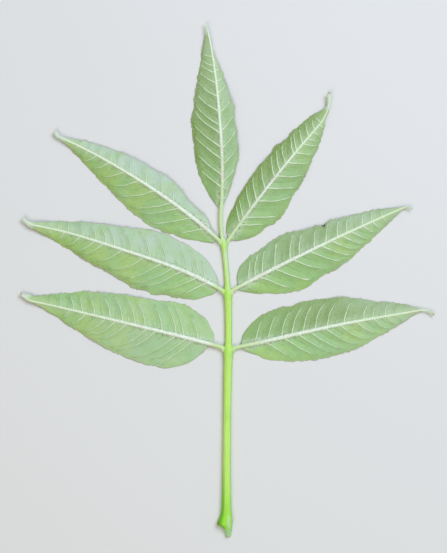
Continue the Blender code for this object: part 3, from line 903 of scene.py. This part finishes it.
def upperside_material():
    """A full green with paler veins and midrib, under a smooth skin."""
    material, tree, shader = new_material(
        "glossy_leaf_upperside", Roughness=0.36, IOR=1.45, Coat_Weight=0.15, Coat_Roughness=0.3)
    place = add(tree, "ShaderNodeAttribute", output="Vector", attribute_name="leaf_mm")
    vein, midrib = (add(tree, "ShaderNodeAttribute", output="Fac", attribute_name=name)
                    for name in ("vein", "from_midrib"))
    clouds = {"Vector": place, "Scale": 1.0 / DRIFT_ABOVE, "Detail": 4.0}
    drift = add(tree, "ShaderNodeTexNoise", clouds)
    green = linear("#3F6E2B")
    for colour, *limits in (
            ("#55853A", drift, 0.35, 0.65, 0.0, 1.0),
            ("#7FA35A", vein, 0.15, 0.7, 0.0, 0.7),
            ("#A5C17C", midrib, 0.25, 0.7, 0.85, 0.0)):
        share = add(tree, "ShaderNodeMapRange", dict(enumerate(limits)))
        green = lay_over(tree, green, colour, share)
    tree.links.new(green, shader.inputs["Base Color"])
    cells = add(tree, "ShaderNodeTexVoronoi", {"Vector": place, "Scale": 1.0 / NET_CELL},
                feature="DISTANCE_TO_EDGE")
    bump = add(tree, "ShaderNodeBump", {"Height": cells, "Strength": 0.5, "Distance": 0.12 * MM})
    tree.links.new(bump, shader.inputs["Normal"])
    print(material.name, "has", len(tree.nodes), "nodes")
    return material


leaf_upperside = upperside_material()

# %% [markdown]
# ## The seven blades
#
# Each blade is one closed sheet with both materials, the pale one on the faces that look up. It rides on the
# root body, because nothing on a leaf turns by itself, and takes the place of its own solid.

# %% Build the seven blades
for leaflet in LEAFLETS:
    upper, lower, values = whole_blade(leaflet)
    blade = sheet_mesh(leaflet.name + "_blade", upper, lower, values, [leaf_underside, leaf_upperside])
    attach(blade, "root")
    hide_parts(leaflet.name)
    print(blade.name, "faces", len(blade.data.polygons), "height", round(float(upper[..., 2].max()), 2), "mm")

# %% [markdown]
# ## Midribs and stalklets
#
# A leaflet's stalklet doesn't end at the blade: it runs on as the midrib, so both are one tube here. It
# leaves the stalk with a flared foot, curves out to the blade, and then sinks into it, getting lower and
# narrower all the way to the tip. Its colour goes with it, from the stalk's lime green to the midrib's
# downy greenish white.

# %% Downy midrib
MIDRIB_NOISES = (  # size in mm, detail, roughness
    (9.091, 2.0, 0.5),  # blush: stretches with a warm tint
    (1.0, 4.0, 0.7),  # specks of down, coarser than real ones so that they show
    (0.7692, 3.0, 0.5),  # fibres, drawn nearly two pixels wide for the same reason
)


def midrib_material():
    """A whitish rib with a warm blush, greener at its base, with specks of down and fine fibres."""
    material, tree, shader = new_material(
        "downy_midrib", Roughness=0.5, IOR=1.45, Sheen_Weight=0.3, Sheen_Roughness=0.5)
    along, lime, joint = (add(tree, "ShaderNodeAttribute", output="Fac", attribute_name=name)
                          for name in ("rib_mm", "lime", "joint"))
    place = add(tree, "ShaderNodeTexCoord", output="Object")
    blush, down, fibres = (
        add(tree, "ShaderNodeTexNoise",
            {"Vector": place, "Scale": 1.0 / (size * MM), "Detail": detail, "Roughness": roughness})
        for size, detail, roughness in MIDRIB_NOISES)
    fibres = add(tree, "ShaderNodeMapRange", {0: fibres, 1: 0.45, 2: 0.65, 3: 0.0, 4: 0.5},
                 interpolation_type="SMOOTHSTEP")
    green = linear("#F3FDE9")
    for colour, *factors in (
            ("#EAF8DC", (along, 25.0, 80.0, 0.0, 1.0)),
            ("#D2EBA8", lime),
            ("#B4EC66", joint),
            ("#F2E2D0", (blush, 0.55, 0.72, 0.0, 0.6)),
            ("#BCCFB4", (down, 0.48, 0.64, 0.0, 0.55), (along, 20.0, 55.0, 1.0, 0.25),
             (along, 0.0, 4.0, 0.0, 1.0)),
            ("#CCE2B0", fibres)):
        green = lay_over(tree, green, colour, *factors)
    tree.links.new(green, shader.inputs["Base Color"])
    bump = add(tree, "ShaderNodeBump", {"Height": fibres, "Strength": 0.6, "Distance": 0.08 * MM})
    tree.links.new(bump, shader.inputs["Normal"])
    print(material.name, "has", len(tree.nodes), "nodes")
    return material


midrib_skin = midrib_material()

# %% The line of a stalklet
STALKLET_RADIUS = 0.80
STALKLET_LEAN = 63.0  # degrees between the stalklet's root and straight across
STALKLET_REACH = 0.4  # how far each end holds its heading, as a share of the distance between them
STALKLET_STEP = 0.3
END_ROOT_DEPTH = 2.2  # the end leaflet's stalklet starts this far inside the stalk
END_ROOT_HEIGHT = 1.1
END_ROOT_TURN = 14.0  # degrees
ROOT_SHARE = 0.4  # of the stalk's half width, where the other stalklets start
ROOT_DROP = 0.05  # the root sinks in the stalk, so that only its sides come out


def stalklet_curve(leaflet):
    """Points from inside the stalk to the leaflet's base, with the heading at each."""
    heading = math.radians(leaflet.heading)
    end = np.array([*leaflet.start, BASE_HEIGHT + STALKLET_RADIUS])
    if leaflet.name == "leaflet_end":
        top = STALK_STATIONS[-1]
        start = np.array([top[1], top[0] - END_ROOT_DEPTH, END_ROOT_HEIGHT])
        lean = heading + math.radians(END_ROOT_TURN)
    else:
        node_y = NODE_Y[leaflet.node]
        centre, half, ratio = (float(v[0]) for v in stalk_section(np.array([node_y])))
        outward = math.copysign(1.0, leaflet.start[0] - centre)
        height = half * ratio * STALK_UNDER - ROOT_DROP
        start = np.array([centre + outward * half * ROOT_SHARE, node_y, height])
        lean = math.radians(STALKLET_LEAN if outward > 0 else 180.0 - STALKLET_LEAN)
    reach = np.linalg.norm(end - start) * STALKLET_REACH
    out = np.array([math.cos(lean), math.sin(lean), 0.0]) * reach
    back = np.array([math.cos(heading), math.sin(heading), 0.0]) * reach
    controls = np.array([start, start + out, end - back, end])
    t = np.linspace(0.0, 1.0, max(6, int(np.linalg.norm(end - start) / STALKLET_STEP)))[:, None]
    s = 1.0 - t
    points = np.concatenate([s ** 3, 3 * s * s * t, 3 * s * t * t, t ** 3], axis=1) @ controls
    slopes = np.concatenate([-s * s, s * s - 2 * s * t, 2 * s * t - t * t, t * t], axis=1) @ controls
    return points, np.unwrap(np.arctan2(slopes[:, 1], slopes[:, 0]))


# %% The tube of stalklet and midrib
RIB_NARROWS = 0.58  # share of its width and height that the midrib loses by its end
RIB_HEIGHT = 0.70  # over the blade's face at the leaflet's base
RIB_SKIRT = 1.4  # 1 is a round top, more spreads the sides into a fillet
RIB_SIDES = 20
RIB_STEP = 0.45
RIB_ENDS = 0.985  # share of the length
NOSE_REACH = 1.2  # over this much the tube rounds off inside the stalk
FLARES = (0.52, 0.36, 0.12)  # added to the radius where a stalklet leaves each joint of the stalk
FLARE_FROM = 0.9
FLARE_REACH = 1.7


def rib_rings(leaflet):
    """Rings of the whole tube, and how far each is from the leaflet's base."""
    curve, curve_heading = stalklet_curve(leaflet)
    steps = np.r_[0.0, np.cumsum(np.linalg.norm(np.diff(curve, axis=0), axis=1))]
    before = steps - steps[-1]
    flare = FLARES[leaflet.node] * bell(steps - FLARE_FROM, FLARE_REACH)
    nose = np.sqrt(smooth(0.25 + steps / NOSE_REACH))
    line_t, line_x, line_y, line_heading = midrib_line(leaflet)
    t = np.linspace(0.0, RIB_ENDS, int(leaflet.length / RIB_STEP))[1:]
    thin = (1.0 - RIB_NARROWS * t) * smooth((1.0 - t) * 12)  # and it runs out over the last twelfth
    blade_top = blade_height(leaflet, t, 0.0, 0.0, 1) + BLADE_THICKNESS + 0.9 * dish_depth(leaflet, t)
    settle = smooth(t * 9)  # the stalklet becomes a midrib over a ninth of the length
    half = STALKLET_RADIUS + (leaflet.rib_half_width * thin - STALKLET_RADIUS) * settle
    rise = STALKLET_RADIUS + (RIB_HEIGHT * thin - STALKLET_RADIUS) * settle
    under = STALKLET_RADIUS + (BLADE_THICKNESS * 0.6 - STALKLET_RADIUS) * settle
    level = curve[-1, 2] + (blade_top - curve[-1, 2]) * settle
    centre = np.stack([np.interp(t, line_t, line_x), np.interp(t, line_t, line_y), level], axis=-1)
    centres = np.concatenate([curve, centre])
    headings = np.unwrap(np.r_[curve_heading, np.interp(t, line_t, line_heading)])
    halves = np.r_[(STALKLET_RADIUS + flare) * nose, half]
    rises = np.r_[STALKLET_RADIUS * nose, rise]
    unders = np.r_[STALKLET_RADIUS * nose, under]
    angle = np.linspace(0.0, 2 * math.pi, RIB_SIDES, endpoint=False)[None, :]
    across = np.stack([np.sin(headings), -np.cos(headings)], axis=-1)[:, None, :]
    flat = centres[:, None, :2] + across * (np.cos(angle) * halves[:, None])[..., None]
    skirt = np.r_[np.ones(len(curve)), 1.0 + (RIB_SKIRT - 1.0) * settle][:, None]
    above = rises[:, None] * np.maximum(np.sin(angle), 0.0) ** skirt
    lift = np.where(np.sin(angle) > 0, above, unders[:, None] * np.sin(angle))
    rings = np.concatenate([flat, (centres[:, 2:3] + lift)[..., None]], axis=-1)
    return rings, np.r_[before, t * leaflet.length]


# %% Build the seven midribs
BARE_GREEN = 0.6  # how green the far end of a midrib is where the halves beside it carry no wax and no painted reflection

for leaflet in LEAFLETS:
    rings, along = rib_rings(leaflet)
    tip_wax_and_reflection = (leaflet.halves[1].wax_and_reflection[1] + leaflet.halves[-1].wax_and_reflection[1]) / 2
    bare = BARE_GREEN * (1.0 if leaflet.name in GREEN_TAILS else max(0.0, 1.0 - 1.6 * tip_wax_and_reflection))
    far_green = bare * smooth(along / leaflet.length - 0.2)
    values = {
        "rib_mm": along,
        "lime": np.maximum(1.0 - smooth(along / leaflet.rib_green), far_green),
        "joint": (1.0 - 0.3 * leaflet.node) * bell(along - along[0] - 1.0, 1.9)
        * (leaflet.name != "leaflet_end"),
    }
    values = {key: np.repeat(value[:, None], RIB_SIDES, axis=1) for key, value in values.items()}
    rib = tube_mesh(leaflet.name + "_midrib", rings, values, [midrib_skin])
    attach(rib, "root")
    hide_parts(leaflet.name.replace("leaflet", "stalklet"))
    print(rib.name, "from", round(float(along[0]), 1), "to", round(float(along[-1]), 1), "mm")

# %% [markdown]
# ## Down beside the midribs
#
# White woolly hairs grow in the corner between midrib and blade, thickest near the leaflet's base. At
# picture scale they read as a soft whitish edge. They could be Blender's hair particles, but real meshes
# stay with the part: each hair is a thin bent tube, drawn 0.06 mm thick, a few times its real size, or it
# would not show at all.

# %% White woolly hair
HAIR_TINT = 2.5  # mm, size of the patches in which the white turns greener


def hair_material():
    """Dry plant hair: white, dull, and lit through at its edges like wool."""
    material, tree, shader = new_material(
        "white_woolly_hair", Roughness=0.6, IOR=1.54, Sheen_Weight=0.5, Sheen_Roughness=0.5)
    place = add(tree, "ShaderNodeTexCoord", output="Object")
    tint = add(tree, "ShaderNodeTexNoise", {"Vector": place, "Scale": 1.0 / (HAIR_TINT * MM)})
    white = lay_over(tree, linear("#F4F6EE"), "#DCE6C8", (tint, 0.35, 0.65, 0.0, 1.0))
    tree.links.new(white, shader.inputs["Base Color"])
    print(material.name, "has", len(tree.nodes), "nodes")
    return material


woolly_hair = hair_material()

# %% The hairs of one leaflet
HAIRS = 640
TUFTS = 90  # most of them near the leaflet's base
HAIR_THICKNESS = 0.06
HAIR_LENGTHS = (0.5, 1.5)  # near the base; a hair at the tip is half as long
HAIR_LEANS = (15.0, 100.0)  # degrees off the midrib's heading
HAIR_TURN = 1.6  # radians by which a hair curls either way at most
HAIR_SIDES = 4
HAIR_RINGS = 4


def hair_lines(leaflet):
    """Points along each hair and its direction there, from the midrib's flank out over the blade."""
    luck = np.random.default_rng(leaflet.seed)
    line_t, line_x, line_y, line_heading = midrib_line(leaflet)
    tufts = 0.02 + 0.80 * luck.beta(1.0, 1.7, TUFTS)
    tuft = luck.integers(0, TUFTS, HAIRS)
    t = np.clip(tufts[tuft] + luck.normal(0.0, 0.0035, HAIRS), 0.01, 0.95)
    sign = np.where(tuft % 2 == 0, 1, -1)
    length = luck.uniform(*HAIR_LENGTHS, HAIRS) * (1.0 - 0.5 * t)
    lean = np.radians(luck.uniform(*HAIR_LEANS, HAIRS)) * sign
    heading = np.interp(t, line_t, line_heading)
    rib = leaflet.rib_half_width * (1.0 - RIB_NARROWS * t)
    offset = rib * luck.uniform(0.2, 0.95, HAIRS)
    root_x = np.interp(t, line_t, line_x) - np.sin(heading) * offset * sign
    root_y = np.interp(t, line_t, line_y) + np.cos(heading) * offset * sign
    flank = np.sqrt(np.clip(1.0 - (offset / rib) ** 2, 0.0, 1.0))
    face = blade_height(leaflet, t, 0.0, 0.0, 1) + BLADE_THICKNESS + 0.9 * dish_depth(leaflet, t)
    root_z = face + RIB_HEIGHT * (1.0 - RIB_NARROWS * t) * flank ** RIB_SKIRT - 0.03

    step = np.linspace(0.0, 1.0, HAIR_RINGS)[None, :]
    direction = (heading + lean)[:, None] + luck.uniform(-HAIR_TURN, HAIR_TURN, HAIRS)[:, None] * step
    gone = length[:, None] * step
    slope = math.tan(math.radians(leaflet.fold))
    outward = gone * np.abs(np.sin(lean))[:, None]
    low = (face - 0.12)[:, None] - slope * (offset[:, None] + outward) + HAIR_THICKNESS
    z = np.maximum(root_z[:, None] + 0.25 * gone - 0.55 * gone * step - slope * outward, low)
    x = root_x[:, None] + np.cos(direction) * gone
    y = root_y[:, None] + np.sin(direction) * gone
    return x[..., None], y[..., None], z[..., None], direction[..., None], step[..., None]


def hairs_of(leaflet):
    """One mesh of bent tubes that thin towards their ends."""
    x, y, z, direction, step = hair_lines(leaflet)
    radius = 0.5 * HAIR_THICKNESS * (1.0 - 0.8 * step ** 2)
    angle = np.linspace(0.0, 2 * math.pi, HAIR_SIDES, endpoint=False)[None, None, :]
    px = x + radius * np.cos(angle) * -np.sin(direction)
    py = y + radius * np.cos(angle) * np.cos(direction)
    pz = z + radius * np.sin(angle)
    points = np.stack([px, py, pz], axis=-1).reshape(-1, 3)
    ring = np.arange(HAIR_SIDES)
    after = (ring + 1) % HAIR_SIDES
    per_hair = [np.stack([k * HAIR_SIDES + ring, (k + 1) * HAIR_SIDES + ring,
                          (k + 1) * HAIR_SIDES + after, k * HAIR_SIDES + after], axis=-1)
                for k in range(HAIR_RINGS - 1)]
    per_hair += [ring[None, :], (HAIR_RINGS - 1) * HAIR_SIDES + ring[None, ::-1]]
    one = np.concatenate(per_hair)[:, ::-1]
    quads = (one[None] + (np.arange(HAIRS) * HAIR_RINGS * HAIR_SIDES)[:, None, None]).reshape(-1, 4)
    return new_mesh(leaflet.name + "_down", points, quads, {}, [woolly_hair])


for leaflet in LEAFLETS:
    down = hairs_of(leaflet)
    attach(down, "root")
print("hairs:", HAIRS * len(LEAFLETS))

# %% [markdown]
# ## The stalk
#
# The stalk is a fresh green stem: a smooth waxy skin over fibres that show as very fine lengthwise ridges.
# It is lime green, with a painted highlight, a whitish stripe right of its middle, towards the end leaflet,
# painted shade along its right edge, a fuller green towards the foot and a tanned left side. It swells at
# each pair of stalklets and at its foot, which once clasped the twig, and ends in a short torn stub of
# pale flesh, with a pale painted highlight on the foot's upper side. A tube of rings can swell, lean and
# fray wherever it has to.

# %% Waxy green stalk
STREAK_WIDTH = 0.4545  # mm, the fibres under the skin, as coarse as a pixel so that they show
STREAK_LENGTH = 20.0  # times their width
TORN_FIBRE_WIDTH = 0.3846  # mm, in the torn flesh of the foot
TORN_FIBRE_LENGTH = 5.0


def stalk_material():
    """Lime green with a painted highlight stripe, painted shade on the right edge, fibres, a tanned side, a
    deeper foot, the stub's raw flesh and a painted highlight on the foot.
    """
    material, tree, shader = new_material("waxy_green_stalk", Roughness=0.42, IOR=1.45)
    side, along, node, tan, torn_flesh_and_glint = (
        add(tree, "ShaderNodeAttribute", output="Fac", attribute_name=name)
        for name in ("side", "stalk_y", "node", "tan", "torn_flesh_and_glint"))
    place = add(tree, "ShaderNodeTexCoord", output="Object")
    streaks, fibres = (
        add(tree, "ShaderNodeTexNoise", {
            "Vector": add(tree, "ShaderNodeMapping", {"Vector": place, "Scale": (1.0, 1.0 / longer, 1.0)}),
            "Scale": 1.0 / (width * MM), "Detail": 3.0, "Roughness": roughness})
        for width, longer, roughness in (
            (STREAK_WIDTH, STREAK_LENGTH, 0.6), (TORN_FIBRE_WIDTH, TORN_FIBRE_LENGTH, 0.5)))
    green = linear("#C7F474")
    for colour, *factors in (
            ("#CFEE94", (along, -12.0, 14.0, 0.0, 1.0)),  # paler towards the end leaflet
            ("#A0E832", (along, -80.0, -106.0, 0.0, 1.0)),  # deeper towards the foot
            ("#D8EFC4", (side, -0.15, 0.25, 0.0, 1.0), (side, 0.6, 1.0, 1.0, 0.3),
             (along, -8.0, 13.0, 0.05, 1.0)),  # painted highlight: a whitish stripe right of the middle, along the upper part
            ("#93CB48", (streaks, 0.42, 0.7, 0.0, 0.4)),
            ("#B4EC66", node),
            ("#B0A062", (side, -0.7, -0.96, 0.0, 0.5)),  # tanned on the left
            ("#86B070", (side, 0.75, 1.0, 0.0, 0.6)),  # painted shade: a darker, cooler right edge
            ("#69BF08", (side, -0.25, -0.75, 0.0, 1.0), (along, -74.0, -101.0, 0.0, 0.9)),
            ("#7E5A2C", tan)):
        green = lay_over(tree, green, colour, *factors)
    flesh = lay_over(tree, linear("#A6CE94"), "#E6F6DE", (fibres, 0.3, 0.7, 0.0, 1.0))
    flesh = lay_over(tree, flesh, "#80D050", (along, -105.6, -107.2, 0.0, 0.5))
    # the stub's torn flesh, and the painted highlight on the foot in the same pale colours
    mix = {FACTOR: torn_flesh_and_glint, FIRST: green, SECOND: flesh}
    tree.links.new(add(tree, "ShaderNodeMix", mix, MIXED, data_type="RGBA"), shader.inputs["Base Color"])
    bump = add(tree, "ShaderNodeBump", {"Height": streaks, "Strength": 0.4, "Distance": 0.05 * MM})
    tree.links.new(bump, shader.inputs["Normal"])
    print(material.name, "has", len(tree.nodes), "nodes")
    return material


# %% The stalk's mesh
STALK_SIDES = 64
STALK_STEP = 0.5
RIDGES = 11
RIDGE_HEIGHT = 0.035
KNOT_HEIGHT = 0.03  # slow bumps that break up the ridges
CLAW = (-4.6, -104.8)  # x and y of the foot's left corner, which once clasped the twig
CLAW_REACH = 0.65
FOOT_GLINT = (0.6, -104.2)  # x and y of the painted highlight on the foot's upper side
FOOT_GLINT_SIZE = (0.75, 2.6)
WEB = 0.35  # the stalk reaches out to the stalklets at each joint
FURROW_DEPTH = 0.35  # along the side that faces the floor
FURROW_FROM = -98.0
STUB_FROM = -106.0  # below this the stalk is ragged
FLESH_FROM = -106.4  # below this its skin is gone
STUB_ROUGHNESS = 0.22
NODE_TINT = 0.7  # share of fresher green at the joints
NODE_TINT_REACH = 2.4


def stalk_rings():
    """Rings of the stalk, with ridges, the lower furrow and the ragged stub."""
    y = np.arange(CUT_Y, STALK_STATIONS[-1, 0] + STALK_STEP / 2, STALK_STEP)
    y[-1] = STALK_STATIONS[-1, 0]
    centre, half, ratio = (v[:, None] for v in stalk_section(y))
    height = half * ratio
    angle = np.linspace(0.0, 2 * math.pi, STALK_SIDES, endpoint=False)[None, :]
    y = y[:, None]
    ridges = RIDGE_HEIGHT * np.sin(RIDGES * angle + 0.02 * y) * smooth((y - CUT_Y) / 12)
    knots = KNOT_HEIGHT * wander(y + 2.0 * angle, 41, 6.0)
    ragged = smooth((STUB_FROM - y) / 3.0)
    tears = STUB_ROUGHNESS * ragged * (wander(9.0 * angle + 2.5 * y, 17, 7.0) - 0.4)
    swell = ridges + knots + tears
    side = np.cos(angle) * np.ones_like(y)
    web = sum(WEB * bell(y - n - 1.0, 1.5) for n in NODE_Y) * np.abs(np.cos(angle)) ** 3
    claw = CLAW_REACH * bell(y - CLAW[1], 0.9) * np.clip(-np.cos(angle), 0.0, 1.0) ** 4
    x = centre + np.cos(angle) * (half + swell + web) - claw
    furrow = FURROW_DEPTH * bell(np.cos(angle), 0.32) * smooth((y - FURROW_FROM) / 10)
    down = -np.sin(angle) * (height * STALK_UNDER) - furrow
    z = height * STALK_UNDER + np.where(np.sin(angle) > 0, np.sin(angle) * (height + swell), -down)
    rings = np.stack([x, y + 0 * angle, np.maximum(z, 0.0)], axis=-1)
    tip = bell(np.hypot(x - CLAW[0], y - CLAW[1]), 1.1)
    # a painted highlight on the foot's upper side, laid in the pale colours of the torn flesh
    glint_x = (x - FOOT_GLINT[0]) / FOOT_GLINT_SIZE[0]
    glint_y = (y - FOOT_GLINT[1]) / FOOT_GLINT_SIZE[1]
    scar = bell(np.hypot(glint_x, glint_y), 1.0) * (np.sin(angle) > 0)
    torn_flesh_and_glint = np.clip(smooth((FLESH_FROM - y) / 1.2) + 0.8 * scar, 0.0, 1.0)
    node = sum(NODE_TINT * bell(y - n, NODE_TINT_REACH) for n in NODE_Y)
    values = {"side": side, "stalk_y": y + 0 * angle, "torn_flesh_and_glint": torn_flesh_and_glint, "tan": 0.85 * tip,
              "node": node + 0 * angle}
    return rings, values


rings, values = stalk_rings()
stalk = tube_mesh("stalk_skin", rings, values, [stalk_material()])
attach(stalk, "root")
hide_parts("stalk")
print(stalk.name, "faces", len(stalk.data.polygons))
